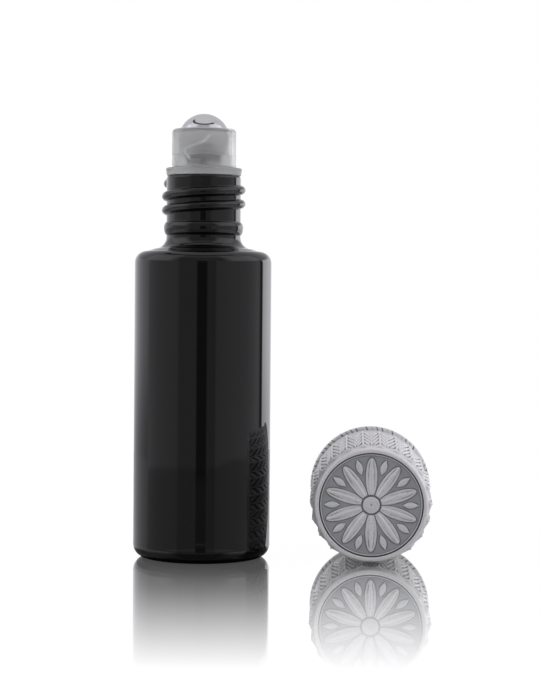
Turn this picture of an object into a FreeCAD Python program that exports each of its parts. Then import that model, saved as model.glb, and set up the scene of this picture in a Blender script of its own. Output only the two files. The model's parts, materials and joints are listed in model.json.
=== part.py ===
"""Roll on bottle with its roller fitting, steel ball and screw cap.

The bottle stands on the origin with its axis along Z. The cap is off the bottle and lies
beside it on its side, with its top turned to the front and its mouth to the back.
"""
import FreeCAD, Part
import Sketcher
import os
import re

# Driving sizes in millimetres, angles in degrees, counts and turns as plain numbers.
SIZES = {
    # Glass bottle
    "body_radius": 10.5,
    "shoulder_height": 47.0,
    "base_corner": 2.0,
    "shoulder_corner": 1.6,
    "shoulder_rise": 0.35,
    "flare_radius": 2.0,
    "foot_width": 1.3,
    "punt_height": 0.5,
    "glass_wall": 1.7,
    "glass_base": 2.8,
    "glass_shoulder": 1.8,
    "inner_corner": 1.5,
    # Neck of the bottle and its screw thread
    "neck_radius": 5.69,
    "neck_wall": 1.39,
    "rim_corner": 0.5,
    "waist_length": 0.2,
    "bead_width": 2.1,
    "bead_rise": 0.41,
    "thread_gap": 1.36,
    "thread_drop": 1.0,
    "thread_depth": 0.74,
    "thread_pitch": 2.117,
    "thread_turns": 2.167,
    "thread_start": 130,
    # Roller housing
    "plug_length": 7.0,
    "plug_wall": 0.8,
    "plug_lead": 0.5,
    "plug_clearance": 0.13,
    "rib_clearance": 0.03,
    "rib_width": 0.8,
    "rib_pitch": 1.7,
    "rib_inset": 1.6,
    "rib_count": 3,
    "flange_thickness": 1.1,
    "flange_overhang": 0.15,
    "flange_corner": 0.2,
    "cup_inset": 0.93,
    "cup_wall": 0.88,
    "cup_corner": 0.4,
    "lip_height": 1.6,
    "web_thickness": 0.9,
    "web_gap": 0.43,
    "ledge_height": 2.0,
    "chamber_wall": 0.59,
    "seat_inner": 2.0,
    "seat_width": 0.7,
    "feed_radius": 1.2,
    "notch_width": 0.8,
    "notch_count": 4,
    # Steel ball
    "ball_clearance": 0.06,
    # Threaded liner and sealing disc inside the cap
    "mouth_gap": 0.5,
    "liner_inset": 0.8,
    "liner_clearance": 0.14,
    "liner_wall": 1.15,
    "liner_top_wall": 1.0,
    "liner_ridge": 0.55,
    "liner_turns": 1.5,
    "flange_room": 0.5,
    "seal_pocket_wall": 2.2,
    "seal_gap": 0.03,
    "seal_thickness": 0.5,
    "seal_corner": 0.15,
    # Metal shell of the cap
    "fit_gap": 0.03,
    "shell_wall": 1.06,
    "shell_top_wall": 1.5,
    "shell_flare": 0.26,
    "ring_width": 2.0,
    "ring_rise": 0.55,
    "ring_corner": 0.8,
    "ring_edge": 0.05,
    "ring_groove": 0.5,
    "fluting_height": 0.4,
    "fluting_cover": 0.05,
    "fluting_point": 3.0,
    "fluting_count": 22,
    "rim_height": 1.7,
    "rim_wall": 0.78,
    "rim_width": 0.72,
    "rim_corner_top": 0.35,
    # Badge let into the top of the cap
    "badge_gap": 0.08,
    "badge_thickness": 0.9,
    "badge_sink": 0.35,
    "boss_radius": 1.35,
    "petal_count": 10,
    "petal_width": 1.9,
    "petal_inset": 0.5,
    "petal_overlap": 0.2,
    # Where the loose cap lies
    "cap_distance": 5.92,
    "cap_forward": 9.5,
    "cap_yaw": 2.5,
}

# Sizes that follow from the driving ones, in the order in which they depend on each other.
DERIVED = {
    "inner_radius": "body_radius - glass_wall",
    "inner_shoulder": "shoulder_height - glass_shoulder",
    "foot_inner": "body_radius - base_corner - foot_width",
    "flare_bottom": "shoulder_height + shoulder_rise",
    "flare_top": "flare_bottom + flare_radius",
    "bead_bottom": "flare_top + waist_length",
    "bead_top": "bead_bottom + bead_width",
    "thread_bottom": "bead_top + thread_gap",
    "thread_rise": "thread_turns * thread_pitch",
    "thread_end": "thread_start + 360 * thread_turns",
    "neck_top": "thread_bottom + thread_rise + thread_drop",
    "bore_radius": "neck_radius - neck_wall",
    "plug_radius": "bore_radius - plug_clearance",
    "plug_bore": "plug_radius - plug_wall",
    "plug_bottom": "neck_top - plug_length",
    "flange_radius": "neck_radius + flange_overhang",
    "flange_top": "neck_top + flange_thickness",
    "cup_radius": "flange_radius - cup_inset",
    "socket_radius": "cup_radius - cup_wall",
    "ball_radius": "socket_radius - ball_clearance",
    "ball_height": "flange_top + web_gap + ball_radius",
    "cup_top": "ball_height + lip_height",
    "lip_radius": "sqrt(socket_radius ^ 2 - lip_height ^ 2)",
    "ledge": "flange_top + ledge_height",
    "chamber_radius": "cup_radius - chamber_wall",
    "seat_outer": "seat_inner + seat_width",
    "web_bottom": "flange_top - web_thickness",
    "mouth_height": "flare_bottom + mouth_gap",
    "liner_bore": "neck_radius + thread_depth + liner_clearance",
    "liner_radius": "liner_bore + liner_wall",
    "ridge_bottom": "thread_bottom - mouth_height",
    "ridge_rise": "liner_turns * thread_pitch",
    "ridge_start": "thread_start + 180",
    "ridge_end": "ridge_start + 360 * liner_turns",
    "liner_step": "flange_top + flange_room - mouth_height",
    "seal_face": "ball_height + ball_radius + seal_gap - mouth_height",
    "liner_ceiling": "seal_face + seal_thickness",
    "liner_top": "liner_ceiling + liner_top_wall",
    "seal_pocket": "liner_radius - seal_pocket_wall",
    "seal_radius": "seal_pocket - fit_gap",
    "shell_bore": "liner_radius + fit_gap",
    "recess_floor": "liner_top + shell_top_wall",
    "badge_face": "recess_floor + badge_thickness",
    "cap_height": "badge_face + badge_sink",
    "core_top": "shell_bore + shell_wall",
    "core_mouth": "core_top + shell_flare",
    "ring_radius": "core_mouth + ring_rise",
    "band_bottom": "ring_width + ring_groove",
    "band_top": "cap_height - rim_height",
    "rim_radius": "shell_bore + rim_wall",
    "recess_radius": "rim_radius - rim_width",
    "badge_radius": "recess_radius - badge_gap",
    "petal_outer": "badge_radius - petal_inset",
    "petal_inner": "boss_radius - petal_overlap",
    "petal_middle": "(petal_outer + petal_inner) / 2",
    "crest_top": "core_top + fluting_cover + fluting_height",
    "crest_low": "crest_top * cos(180 / fluting_count)",
    "ring_shoulder": "ring_rise - ring_edge",
    "ring_rest": "ring_width - ring_shoulder",
    "cap_lean": "atan((ring_radius - crest_low) / (band_top - ring_rest))",
    "cap_lift": "ring_radius * cos(cap_lean) + ring_rest * sin(cap_lean)",
    "cap_side": "body_radius + cap_distance + crest_top",
}

# Radius of the rounded end of a thread as a share of the thread's depth.
THREAD_END_SHARE = 0.9

# How far the volume of a joined solid may be from the sum of its two pieces.
JOIN_TOLERANCE_SHARE = 0.0001

doc = FreeCAD.newDocument("RollOnBottle")
sheet = doc.addObject("Spreadsheet::Sheet", "Sizes")


def fill_sheet():
    """Write every size into the sheet under its own alias."""
    rows = [(name, str(value)) for name, value in SIZES.items()]
    rows += [(name, "=" + formula) for name, formula in DERIVED.items()]
    for row, (name, text) in enumerate(rows, start=1):
        sheet.set(f"A{row}", name)
        sheet.set(f"B{row}", text)
        sheet.setAlias(f"B{row}", name)
    doc.recompute()


def linked(formula):
    """Point every size named in a formula at the sheet, leaving functions as they are."""
    return re.sub(r"\b[a-z]\w*\b(?!\()", r"Sizes.\g<0>", formula)


def value_of(formula):
    """The present value of a formula in the sheet's sizes."""
    return float(sheet.evalExpression(formula))


def bind(item, **formulas):
    """Bind properties of an object, such as Radius, to formulas in the sheet's sizes."""
    for name, formula in formulas.items():
        item.setExpression(name.replace("__", "."), linked(formula))


def plane_of(body, role):
    """One of a body's own origin planes."""
    return next(part for part in body.Origin.OriginFeatures if part.Role == role)


def new_sketch(body, name, role, height=None):
    """An empty sketch on an origin plane of its body, raised along the plane's normal."""
    sketch = body.newObject("Sketcher::SketchObject", name)
    sketch.AttachmentSupport = [(plane_of(body, role), "")]
    sketch.MapMode = "FlatFace"
    if height:
        bind(sketch, AttachmentOffset__Base__z=height)
    return sketch


def arc_between(start, end, radius, turn):
    """A shallow arc from start to end, counterclockwise for turn 1 and clockwise for -1."""
    chord = end - start
    reach = max(radius ** 2 - (chord.Length / 2) ** 2, 0) ** 0.5
    side = FreeCAD.Vector(-chord.y, chord.x, 0).normalize()
    bulge = (start + end) / 2 + side * turn * (reach - radius)
    return Part.Arc(start, bulge, end)


def pin_corner(sketch, edge, vertex, formulas):
    """Fix one corner of an outline at its two formulas, measured from the sketch's origin."""
    for kind, axis, formula in zip(("DistanceX", "DistanceY"), (-2, -1), formulas):
        if formula == "0":
            sketch.addConstraint(Sketcher.Constraint("PointOnObject", edge, vertex, axis))
            continue
        place = Sketcher.Constraint(kind, -1, 1, edge, vertex, value_of(formula))
        bind(sketch, **{f"Constraints[{sketch.addConstraint(place)}]": formula})


def draw_outline(sketch, corners):
    """Draw a closed outline through its corners.

    A corner is a pair of formulas. The edge that leaves it is straight, or an arc where the
    corner also gives a radius formula and a turn of 1 (counterclockwise) or -1 (clockwise).
    """
    points = [FreeCAD.Vector(value_of(c[0]), value_of(c[1]), 0) for c in corners]
    ends = []
    for number, corner in enumerate(corners):
        start = points[number]
        end = points[(number + 1) % len(points)]
        if len(corner) == 2:
            sketch.addGeometry(Part.LineSegment(start, end))
            ends.append((1, 2))
            continue
        radius, turn = corner[2:]
        sketch.addGeometry(arc_between(start, end, value_of(radius), turn))
        ends.append((1, 2) if turn > 0 else (2, 1))
        bow = Sketcher.Constraint("Radius", number, value_of(radius))
        bind(sketch, **{f"Constraints[{sketch.addConstraint(bow)}]": radius})
    for number, corner in enumerate(corners):
        after = (number + 1) % len(corners)
        join = Sketcher.Constraint("Coincident", number, ends[number][1], after, ends[after][0])
        sketch.addConstraint(join)
        pin_corner(sketch, number, ends[number][0], corner[:2])
    doc.recompute()


def turned_body(label, corners):
    """A body made by turning an outline of radius and height formulas round the Z axis."""
    body = doc.addObject("PartDesign::Body", label)
    sketch = new_sketch(body, label + "_outline", "XZ_Plane")
    draw_outline(sketch, corners)
    turned = body.newObject("PartDesign::Revolution", label + "_turned")
    turned.Profile = sketch
    turned.ReferenceAxis = (sketch, ["V_Axis"])
    doc.recompute()
    return body


def repeat_round(body, feature, count):
    """Repeat the last feature of a body round the Z axis."""
    pattern = body.newObject("PartDesign::PolarPattern", feature.Name + "_round")
    pattern.Originals = [feature]
    pattern.Axis = (plane_of(body, "Z_Axis"), [""])
    bind(pattern, Occurrences=count)
    body.Tip = pattern
    doc.recompute()


def thread_ridge(label, radius, depth, start, end, bottom, rise):
    """A round ridge wound up a cylinder, with a ball at each end."""
    path = doc.addObject("Part::Helix", label + "_path")
    bind(path, Radius=radius, Pitch="thread_pitch", Height=rise)
    section = doc.addObject("Part::Circle", label + "_section")
    section.Placement.Rotation = FreeCAD.Rotation(FreeCAD.Vector(1, 0, 0), 90)
    bind(section, Radius=depth, Placement__Base__x=radius)
    ridge = doc.addObject("Part::Sweep", label + "_ridge")
    ridge.Sections = [section]
    ridge.Spine = (path, [])
    ridge.Solid = True
    bind(ridge, Placement__Base__z=bottom, Placement__Rotation__Angle=start)
    balls = []
    for angle, height in ((start, bottom), (end, f"{bottom} + {rise}")):
        ball = doc.addObject("Part::Sphere", label + "_end")
        bind(ball, Radius=f"{depth} * {THREAD_END_SHARE}", Placement__Base__z=height)
        bind(ball, Placement__Base__x=f"{radius} * cos({angle})")
        bind(ball, Placement__Base__y=f"{radius} * sin({angle})")
        balls.append(ball)
    doc.recompute()
    started = joined(label + "_started", ridge, balls[0])
    return joined(label, started, balls[1])


def joined(label, base, addition):
    """One solid made of two that overlap, with no part of either lost."""
    whole = doc.addObject("Part::Fuse", label)
    whole.Base = base
    whole.Tool = addition
    whole.Refine = False
    doc.recompute()
    expected = base.Shape.Volume + addition.Shape.cut(base.Shape).Volume
    if abs(whole.Shape.Volume / expected - 1) > JOIN_TOLERANCE_SHARE:
        raise RuntimeError(f"{label} lost a part when it was joined")
    return whole


def make_bottle():
    """The glass bottle: hollow body, shoulder, beaded neck and a right hand screw thread."""
    bead_bow = "((bead_width / 2) ^ 2 + bead_rise ^ 2) / (2 * bead_rise)"
    punt_bow = "(foot_inner ^ 2 + punt_height ^ 2) / (2 * punt_height)"
    wall = turned_body("glass_wall", [
        ("0", "punt_height", punt_bow, -1),
        ("foot_inner", "0"),
        ("body_radius - base_corner", "0", "base_corner", 1),
        ("body_radius", "base_corner"),
        ("body_radius", "shoulder_height - shoulder_corner", "shoulder_corner", 1),
        ("body_radius - shoulder_corner", "shoulder_height"),
        ("neck_radius + flare_radius", "flare_bottom", "flare_radius", -1),
        ("neck_radius", "flare_top"),
        ("neck_radius", "bead_bottom", bead_bow, 1),
        ("neck_radius", "bead_top"),
        ("neck_radius", "neck_top - rim_corner", "rim_corner", 1),
        ("neck_radius - rim_corner", "neck_top"),
        ("bore_radius", "neck_top"),
        ("bore_radius", "inner_shoulder + inner_corner", "inner_corner", 1),
        ("bore_radius + inner_corner", "inner_shoulder"),
        ("inner_radius - inner_corner", "inner_shoulder", "inner_corner", -1),
        ("inner_radius", "inner_shoulder - inner_corner"),
        ("inner_radius", "glass_base + inner_corner", "inner_corner", -1),
        ("inner_radius - inner_corner", "glass_base"),
        ("0", "glass_base"),
    ])
    ridge = thread_ridge("neck_thread", "neck_radius", "thread_depth", "thread_start", "thread_end",
                         "thread_bottom", "thread_rise")
    return joined("glass_bottle", wall, ridge)


def make_housing():
    """The roller housing: ribbed plug, flange, cup with a retaining lip, and the ball's seat."""
    rib_rise = "(plug_clearance - rib_clearance)"
    rib_bow = f"((rib_width / 2) ^ 2 + {rib_rise} ^ 2) / (2 * {rib_rise})"
    ribs = []
    for step in range(SIZES["rib_count"]):
        middle = f"plug_bottom + rib_inset + {step} * rib_pitch"
        ribs.append(("plug_radius", f"{middle} - rib_width / 2", rib_bow, 1))
        ribs.append(("plug_radius", f"{middle} + rib_width / 2"))
    seat = "ball_height - sqrt(socket_radius ^ 2 - {} ^ 2)"
    body = turned_body("roller_housing", [
        ("plug_bore", "plug_bottom"),
        ("plug_radius - plug_lead", "plug_bottom"),
        ("plug_radius", "plug_bottom + plug_lead"),
        *ribs,
        ("plug_radius", "neck_top"),
        ("neck_radius", "neck_top"),
        ("flange_radius", "flange_top - flange_corner", "flange_corner", 1),
        ("flange_radius - flange_corner", "flange_top"),
        ("cup_radius", "flange_top"),
        ("cup_radius", "cup_top - cup_corner", "cup_corner", 1),
        ("cup_radius - cup_corner", "cup_top"),
        ("lip_radius", "cup_top", "socket_radius", -1),
        ("socket_radius", "ball_height"),
        ("socket_radius", "ledge"),
        ("chamber_radius", "ledge"),
        ("chamber_radius", "flange_top"),
        ("seat_outer", "flange_top"),
        ("seat_outer", seat.format("seat_outer"), "socket_radius", -1),
        ("seat_inner", seat.format("seat_inner")),
        ("seat_inner", "flange_top"),
        ("feed_radius", "flange_top"),
        ("feed_radius", "web_bottom"),
        ("plug_bore", "web_bottom"),
    ])
    sketch = new_sketch(body, "feed_notch_outline", "XY_Plane", "flange_top")
    draw_outline(sketch, [
        ("feed_radius", "-notch_width / 2"),
        ("seat_outer + seat_width / 2", "-notch_width / 2"),
        ("seat_outer + seat_width / 2", "notch_width / 2"),
        ("feed_radius", "notch_width / 2"),
    ])
    notch = body.newObject("PartDesign::Pocket", "feed_notch")
    notch.Profile = sketch
    notch.Reversed = True
    bind(notch, Length="ledge_height")
    doc.recompute()
    repeat_round(body, notch, "notch_count")
    return body


def make_ball():
    """The steel ball, loose in the housing's socket."""
    ball = doc.addObject("Part::Sphere", "roller_ball")
    bind(ball, Radius="ball_radius", Placement__Base__z="ball_height")
    return ball


def fluting_section(body, name, height, core, crest_share, width_share):
    """A roof shaped section of one flute at a height, standing on the shell's core along X."""
    half = f"180 / fluting_count * {width_share}"
    root = f"({core} - fluting_cover)"
    foot = f"({core} + fluting_cover)"
    sketch = new_sketch(body, name, "XY_Plane", height)
    draw_outline(sketch, [
        (f"{root} * cos({half})", f"-{root} * sin({half})"),
        (f"{foot} * cos({half})", f"-{foot} * sin({half})"),
        (f"{foot} + fluting_height * {crest_share}", "0"),
        (f"{foot} * cos({half})", f"{foot} * sin({half})"),
        (f"{root} * cos({half})", f"{root} * sin({half})"),
    ])
    return sketch


def make_shell():
    """The cap's metal shell: mouth ring, flared and fluted side, rim and recessed top."""
    body = turned_body("cap_shell", [
        ("shell_bore", "0"),
        ("ring_radius - ring_corner", "0", "ring_corner", 1),
        ("ring_radius", "ring_corner"),
        ("ring_radius", "ring_rest", "ring_shoulder", 1),
        ("ring_radius - ring_shoulder", "ring_width"),
        ("core_mouth", "ring_width"),
        ("core_top", "band_top"),
        ("rim_radius", "band_top"),
        ("rim_radius", "cap_height - rim_corner_top", "rim_corner_top", 1),
        ("rim_radius - rim_corner_top", "cap_height"),
        ("recess_radius", "cap_height"),
        ("recess_radius", "recess_floor"),
        ("0", "recess_floor"),
        ("0", "liner_top"),
        ("shell_bore", "liner_top"),
    ])
    point_share = 0.1
    slope = "(core_mouth - core_top) / (band_top - ring_width)"
    point_core = f"(core_mouth - {slope} * ring_groove)"
    body_core = f"(core_mouth - {slope} * (ring_groove + fluting_point))"
    flute = body.newObject("PartDesign::AdditiveLoft", "flute")
    flute.Profile = fluting_section(body, "flute_top", "band_top", "core_top", 1, 1)
    flute.Sections = [
        fluting_section(body, "flute_back", "band_bottom + fluting_point", body_core, 1, 1),
        fluting_section(body, "flute_point", "band_bottom", point_core, point_share, point_share),
    ]
    flute.Ruled = True
    doc.recompute()
    repeat_round(body, flute, "fluting_count")
    return body


def make_badge():
    """The badge let into the cap's top: a disc with a domed boss and a rosette of petals."""
    boss_bow = "(boss_radius ^ 2 + badge_sink ^ 2) / (2 * badge_sink)"
    body = turned_body("cap_badge", [
        ("0", "recess_floor"),
        ("badge_radius", "recess_floor"),
        ("badge_radius", "badge_face"),
        ("boss_radius", "badge_face", boss_bow, 1),
        ("0", "badge_face + badge_sink"),
    ])
    petal = body.newObject("PartDesign::AdditiveEllipsoid", "petal")
    petal.AttachmentSupport = [(plane_of(body, "XY_Plane"), "")]
    petal.MapMode = "FlatFace"
    bind(petal, AttachmentOffset__Base__y="petal_middle", AttachmentOffset__Base__z="badge_face")
    bind(petal, Radius1="badge_sink", Radius2="petal_width / 2")
    bind(petal, Radius3="(petal_outer - petal_inner) / 2")
    doc.recompute()
    repeat_round(body, petal, "petal_count")
    return body


def make_liner():
    """The cap's plastic liner: a sleeve that fits the shell, with a thread to match the neck's."""
    sleeve = turned_body("liner_sleeve", [
        ("liner_bore", "liner_inset"),
        ("liner_radius", "liner_inset"),
        ("liner_radius", "liner_top"),
        ("0", "liner_top"),
        ("0", "liner_ceiling"),
        ("seal_pocket", "liner_ceiling"),
        ("seal_pocket", "liner_step"),
        ("liner_bore", "liner_step"),
    ])
    ridge = thread_ridge("liner_thread", "liner_bore", "liner_ridge", "ridge_start", "ridge_end",
                         "ridge_bottom", "ridge_rise")
    return joined("cap_liner", sleeve, ridge)


def make_seal():
    """The sealing disc under the liner's ceiling, which presses on the ball."""
    return turned_body("cap_seal", [
        ("0", "seal_face"),
        ("seal_radius - seal_corner", "seal_face", "seal_corner", 1),
        ("seal_radius", "seal_face + seal_corner"),
        ("seal_radius", "liner_ceiling"),
        ("0", "liner_ceiling"),
    ])


def cap_placement():
    """The loose cap's place: on its side, resting on its mouth ring and on two flutes at the front."""
    on_side = FreeCAD.Rotation(FreeCAD.Vector(1, 0, 0), 90 + value_of("cap_lean"))
    yaw = FreeCAD.Rotation(FreeCAD.Vector(0, 0, 1), -value_of("cap_yaw"))
    turned = yaw.multiply(on_side)
    to_top = turned.multVec(FreeCAD.Vector(0, 0, value_of("cap_height")))
    front = FreeCAD.Vector(value_of("cap_side"), -value_of("cap_forward"), 0)
    mouth = FreeCAD.Vector(front.x - to_top.x, front.y - to_top.y, value_of("cap_lift"))
    return FreeCAD.Placement(mouth, turned)


def check_document():
    """Stop if any object of the document failed."""
    for item in doc.Objects:
        if "Invalid" in item.State or "Error" in item.State:
            raise RuntimeError(f"{item.Label} failed: {item.State}")


def write_parts(pieces):
    """Check each sub-part's solid and write it to its own file."""
    os.makedirs("parts", exist_ok=True)
    for piece in pieces:
        if piece.Shape.isNull() or not piece.Shape.isValid() or len(piece.Shape.Solids) != 1:
            raise RuntimeError(f"{piece.Label} is not one valid solid")
    for piece in pieces:
        piece.Shape.exportStep(f"parts/{piece.Label}.step")
        print(piece.Label, "volume", round(piece.Shape.Volume, 2))


fill_sheet()
bottle_pieces = [make_bottle(), make_housing(), make_ball()]
cap_pieces = [make_shell(), make_badge(), make_liner(), make_seal()]
for cap_piece in cap_pieces:
    cap_piece.Placement = cap_placement()
doc.recompute()
check_document()
write_parts(bottle_pieces + cap_pieces)
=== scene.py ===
"""Dresses the packed roll on bottle: black glass, roller fitting, steel ball, ornamented cap and a stage."""
import json
from functools import partial

import bpy
import numpy as np
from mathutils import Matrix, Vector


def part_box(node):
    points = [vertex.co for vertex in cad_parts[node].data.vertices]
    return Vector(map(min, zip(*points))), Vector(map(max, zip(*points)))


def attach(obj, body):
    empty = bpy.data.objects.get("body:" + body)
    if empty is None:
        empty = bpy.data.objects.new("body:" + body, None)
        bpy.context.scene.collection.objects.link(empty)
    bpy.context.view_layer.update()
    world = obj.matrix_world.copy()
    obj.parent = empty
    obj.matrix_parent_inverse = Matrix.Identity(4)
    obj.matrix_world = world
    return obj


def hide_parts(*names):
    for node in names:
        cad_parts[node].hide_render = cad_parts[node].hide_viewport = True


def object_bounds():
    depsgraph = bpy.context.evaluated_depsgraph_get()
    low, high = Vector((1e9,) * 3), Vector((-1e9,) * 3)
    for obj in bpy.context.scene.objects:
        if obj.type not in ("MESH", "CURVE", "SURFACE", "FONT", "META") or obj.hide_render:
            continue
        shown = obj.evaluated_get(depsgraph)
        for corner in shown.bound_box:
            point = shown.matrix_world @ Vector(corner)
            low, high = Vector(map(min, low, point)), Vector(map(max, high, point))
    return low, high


bl_info = {
    "name": "Roll on bottle",
    "version": (1, 0, 0),
    "blender": (4, 5, 0),
    "location": "View3D > Sidebar > Roll on",
    "description": "Builds the visible pieces of a roll on bottle round its packed frame",
    "category": "Object",
}

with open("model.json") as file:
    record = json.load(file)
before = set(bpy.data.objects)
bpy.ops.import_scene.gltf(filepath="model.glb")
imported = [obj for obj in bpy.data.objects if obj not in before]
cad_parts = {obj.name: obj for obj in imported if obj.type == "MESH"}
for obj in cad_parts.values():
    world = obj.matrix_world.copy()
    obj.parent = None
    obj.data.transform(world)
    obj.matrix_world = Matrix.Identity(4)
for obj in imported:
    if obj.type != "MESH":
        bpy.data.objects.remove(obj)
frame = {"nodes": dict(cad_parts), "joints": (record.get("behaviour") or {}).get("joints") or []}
CAD_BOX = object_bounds()

MM = 0.001
# Sides shorter than the first are left out. Places closer than the second are alike.
NO_LENGTH = 1e-9
ALIKE = 1e-7
GLASS_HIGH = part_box("glass_bottle")[1]
BALL_LOW, BALL_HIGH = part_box("roller_ball")
CAP_JOINT = next(joint for joint in frame["joints"] if joint["name"] == "cap_turn")


# Properties

def length(millimetres, description):
    """A length that is written in millimetres and kept in metres."""
    return partial(bpy.props.FloatProperty, description=description, default=millimetres * MM,
                   unit="LENGTH", subtype="DISTANCE", precision=5)


def number(default, description):
    """A plain number."""
    return partial(bpy.props.FloatProperty, description=description, default=default, precision=4)


def whole(default, description):
    """A count."""
    return partial(bpy.props.IntProperty, description=description, default=default, min=1)


def turn(degrees, description):
    """An angle that is written in degrees and kept in radians."""
    return partial(bpy.props.FloatProperty, description=description, default=np.radians(degrees),
                   unit="ROTATION", subtype="ANGLE")


def tint(red, green, blue, description):
    """A linear colour."""
    return partial(bpy.props.FloatVectorProperty, description=description, default=(red, green, blue, 1.0),
                   size=4, subtype="COLOR", min=0.0, max=1.0)


def settings_of(group):
    """The settings of one part."""
    return partial(bpy.props.PointerProperty, description=group.__doc__, type=group)


def named(group):
    """The group with its properties made, each with its attribute's name in plain words."""
    for key, make in group.__annotations__.items():
        group.__annotations__[key] = make(name=key.replace("_", " ").capitalize())
    return group


@named
class GlassSizes(bpy.types.PropertyGroup):
    """Sizes of the glass bottle."""
    body_radius: length(GLASS_HIGH.x / MM, "Radius of the straight body")
    shoulder_height: length(47.0, "Height of the shoulder's edge")
    base_corner: length(2.0, "Rounding between the base and the body")
    shoulder_corner: length(1.8, "Rounding between the body and the shoulder")
    shoulder_rise: length(0.35, "How far the shoulder rises towards the neck")
    shoulder_inner: length(7.6, "Radius at which the rise of the shoulder ends")
    shoulder_outer: length(8.6, "Radius at which the rise of the shoulder starts")
    shoulder_blend: length(0.8, "Rounding at both ends of the shoulder's rise")
    flare_radius: length(1.85, "Rounding between the shoulder and the neck")
    foot_width: length(1.3, "Width of the ring that the bottle stands on")
    punt_height: length(0.5, "Height of the hollow under the base")
    wall: length(1.7, "Thickness of the body's glass")
    base: length(2.8, "Thickness of the base's glass")
    shoulder_wall: length(1.8, "Thickness of the shoulder's glass")
    inner_corner: length(1.5, "Rounding of the corners inside")
    seam_height: length(1.9, "Height of the mould's parting line above the base")
    seam_rise: length(0.03, "How far the parting line stands out")
    seam_width: length(0.12, "Half width of the parting line")
    neck_top: length(GLASS_HIGH.z / MM, "Height of the neck's rim")
    neck_radius: length(5.69, "Radius of the neck between its thread's turns")
    neck_wall: length(1.39, "Thickness of the neck's glass")
    rim_corner: length(0.5, "Rounding of the rim's outer edge")
    rim_inner_corner: length(0.2, "Rounding of the rim's inner edge")
    bead_height: length(50.6, "Height of the middle of the bead under the thread")
    bead_width: length(1.75, "Width of the bead")
    bead_rise: length(0.41, "How far the bead stands out")
    thread_bottom: length(52.93, "Height at which the thread starts")
    thread_depth: length(0.74, "How far the thread stands out")
    thread_reach: length(0.74, "Half width of the thread")
    thread_pitch: length(2.117, "Rise of the thread in one turn")
    thread_turns: number(2.15, "Number of turns of the thread")
    thread_fade: number(0.055, "Turns over which each end of the thread fades")
    thread_start: turn(130, "Angle at which the thread starts")


@named
class HousingSizes(bpy.types.PropertyGroup):
    """Sizes of the roller housing."""
    plug_length: length(7.0, "Length of the plug inside the neck")
    plug_radius: length(4.17, "Radius of the plug between its ribs")
    plug_wall: length(0.8, "Thickness of the plug")
    plug_lead: length(0.5, "Slope at the plug's lower end")
    rib_rise: length(0.1, "How far a sealing rib stands out")
    rib_width: length(0.8, "Width of a sealing rib")
    rib_pitch: length(1.7, "Distance between the sealing ribs")
    rib_inset: length(1.6, "Distance of the first rib from the plug's end")
    rib_count: whole(3, "Number of sealing ribs")
    flange_thickness: length(1.1, "Thickness of the flange on the rim")
    flange_overhang: length(0.15, "How much wider the flange is at its top")
    flange_corner: length(0.2, "Rounding of the flange's upper edge")
    cup_radius: length(4.91, "Outer radius of the cup")
    cup_foot: length(0.22, "Rounding between the cup and the flange")
    cup_corner: length(0.55, "Rounding of the cup's upper edge")
    socket_radius: length(4.03, "Radius of the ball's socket")
    lip_height: length(1.6, "Height of the lip above the ball's middle")
    web_thickness: length(0.9, "Thickness of the web under the ball")
    ledge_height: length(2.0, "Height of the ledge inside the cup above the flange")
    chamber_radius: length(4.32, "Radius of the fluid chamber under the ledge")
    seat_inner: length(2.0, "Inner radius of the ball's seat")
    seat_outer: length(2.7, "Outer radius of the ball's seat")
    feed_radius: length(1.2, "Radius of the feed hole")
    notch_count: whole(4, "Number of feed notches through the seat")
    notch_width: length(0.8, "Width of a feed notch")
    edge: length(0.06, "Rounding of the small edges")
    weld_rise: length(0.11, "How far the weld line on the cup stands out")
    weld_width: length(0.16, "Half width of the weld line on the cup")


@named
class BallSizes(bpy.types.PropertyGroup):
    """Sizes of the steel ball."""
    radius: length((BALL_HIGH.z - BALL_LOW.z) / 2 / MM, "Radius of the ball")
    middle: length((BALL_HIGH.z + BALL_LOW.z) / 2 / MM, "Height of the ball's middle")


@named
class ShellSizes(bpy.types.PropertyGroup):
    """Sizes of the cap's metal shell, measured from its mouth."""
    height: length(24.4975, "Height of the shell")
    bore: length(7.75, "Radius of the bore")
    ceiling: length(21.7475, "Height of the bore's end")
    ring_width: length(2.0, "Width of the ring round the mouth")
    ring_radius: length(9.62, "Radius of the ring round the mouth")
    ring_corner: length(0.8, "Rounding of the ring's edges")
    rope_count: whole(70, "Number of slanted notches round the ring")
    rope_depth: length(0.09, "Depth of the slanted notches")
    rope_slant: number(0.9, "Notch spacings that a notch leans over the ring's width")
    core_mouth: length(9.07, "Radius of the ground of the side at the mouth ring")
    core_top: length(8.81, "Radius of the ground of the side at the rim")
    band_bottom: length(2.5, "Height at which the ornamented band starts")
    band_top: length(22.7975, "Height at which the ornamented band ends")
    flute_count: whole(22, "Number of ornamented columns round the side")
    flute_rise: length(0.45, "Height of a column's crest above the ground")
    flute_point: length(5.4, "Length of a column's pointed end")
    slit_slant: length(4.6, "How far a slit runs along the axis from crest to valley")
    slit_spacing: length(4.2, "Distance between slits along the axis")
    slit_width: length(0.58, "Width of a slit")
    slit_depth: length(0.3, "Depth of a slit")
    pit_length: length(1.7, "Length of the pointed pits at the rim")
    pit_depth: length(0.12, "Depth of the pointed pits at the rim")
    rim_radius: length(8.53, "Radius of the rim round the top")
    rim_corner: length(0.5, "Rounding of the rim's outer edge")
    rim_inner_corner: length(0.12, "Rounding of the rim's inner edge")
    recess_radius: length(7.81, "Radius of the recess for the badge")
    recess_floor: length(23.2475, "Height of the recess's floor")


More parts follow.
